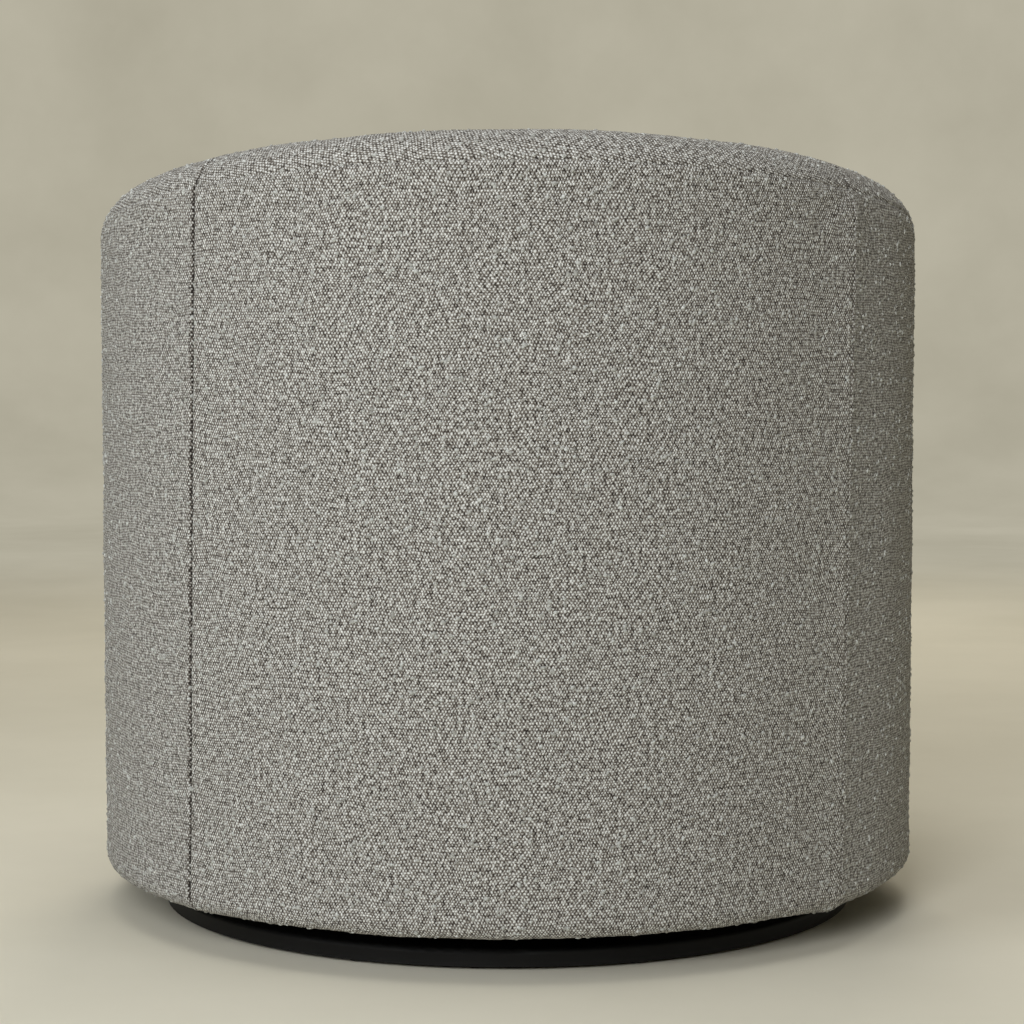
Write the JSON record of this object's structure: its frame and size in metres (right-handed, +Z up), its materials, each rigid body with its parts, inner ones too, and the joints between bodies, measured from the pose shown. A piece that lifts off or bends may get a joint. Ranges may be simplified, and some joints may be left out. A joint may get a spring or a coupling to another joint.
{
  "type": "tub chair",
  "caption": "Round upholstered tub chair whose shell slopes down to the arms, with a loose seat cushion, turning on a low round base.",
  "frame": {"origin": "on the floor under the swivel axis, the bottom centre of the bounding box", "axes": "+Z up along the swivel axis; the chair faces -Y, its back is towards +Y; +X is the sitter's left"},
  "size_m": [0.75, 0.7499, 0.69],
  "materials": {
    "boucle": "woven boucle, matt",
    "platform_cloth": "plain woven platform cloth, matt",
    "dust_cloth": "thin black non-woven cloth, matt",
    "foam": "open-cell foam",
    "wadding": "polyester fibre wadding",
    "felt": "needled felt",
    "webbing": "woven elastic webbing",
    "plywood": "bare birch plywood",
    "softwood": "planed pine",
    "black_lacquer": "satin black lacquer on fibreboard",
    "black_plastic": "moulded polypropylene, matt",
    "nylon": "moulded nylon",
    "zip_nylon": "nylon coil",
    "zinc_steel": "zinc-plated pressed steel",
    "ball_steel": "polished bearing steel"
  },
  "bodies": {
    "base": {"base_disc": "black_lacquer", "glides": "black_plastic", "glide_nails": "zinc_steel", "base_screws": "zinc_steel", "swivel_lower_plate": "zinc_steel", "centre_rivet": "zinc_steel"},
    "ball_race": {"ball_cage": "nylon", "swivel_balls": "ball_steel"},
    "seat_shell": {"outside_back_cover": "boucle", "outside_arm_cover_left": "boucle", "outside_arm_cover_right": "boucle", "top_band_back": "boucle", "top_band_left": "boucle", "top_band_right": "boucle", "inside_back_cover": "boucle", "inside_arm_cover_left": "boucle", "inside_arm_cover_right": "boucle", "front_panel_cover": "boucle", "deck_cloth": "platform_cloth", "dust_cover": "dust_cloth", "top_foam": "foam", "inside_back_foam": "foam", "inside_arm_foam_left": "foam", "inside_arm_foam_right": "foam", "arm_front_foam_left": "foam", "arm_front_foam_right": "foam", "outer_wadding": "wadding", "front_wadding": "wadding", "deck_pad": "felt", "webbing_across": "webbing", "webbing_along": "webbing", "outer_board": "plywood", "inner_board": "plywood", "front_board": "plywood", "top_rail": "plywood", "base_board": "plywood", "spacer_board": "plywood", "seat_rail_front": "plywood", "seat_rail_back": "plywood", "seat_rail_left": "plywood", "seat_rail_right": "plywood", "upright_back": "softwood", "upright_back_left": "softwood", "upright_back_right": "softwood", "upright_left": "softwood", "upright_right": "softwood", "arm_post_left": "softwood", "arm_post_right": "softwood", "front_posts": "softwood", "swivel_upper_plate": "zinc_steel", "seat_screws": "zinc_steel"},
    "seat_cushion": {"cushion_core": "foam", "cushion_wrap": "wadding", "cushion_cover_top": "boucle", "cushion_cover_bottom": "boucle", "cushion_boxing": "boucle", "zip_tape": "zip_nylon", "zip_chain": "zip_nylon"},
    "zip_runner": {"zip_slider": "zinc_steel", "zip_pull": "zinc_steel"}
  },
  "joints": [
    {"name": "swivel", "type": "hinge", "parent": "base", "child": "seat_shell", "pos_m": [0, 0, 0.024], "axis": [0, 0, 1], "continuous": true},
    {"name": "race_turn", "type": "hinge", "parent": "base", "child": "ball_race", "pos_m": [0, 0, 0.024], "axis": [0, 0, 1], "continuous": true},
    {"name": "cushion_lift", "type": "slide", "parent": "seat_shell", "child": "seat_cushion", "axis": [0, 0, 1], "range_m": [0, 0.35]},
    {"name": "zip_run", "type": "hinge", "parent": "seat_cushion", "child": "zip_runner", "pos_m": [0, -0.03, 0.365], "axis": [0, 0, -1], "range_deg": [0, 96]}
  ],
  "couplings": [
    {"joint": "race_turn", "follows": "swivel", "ratio": 0.5}
  ]
}
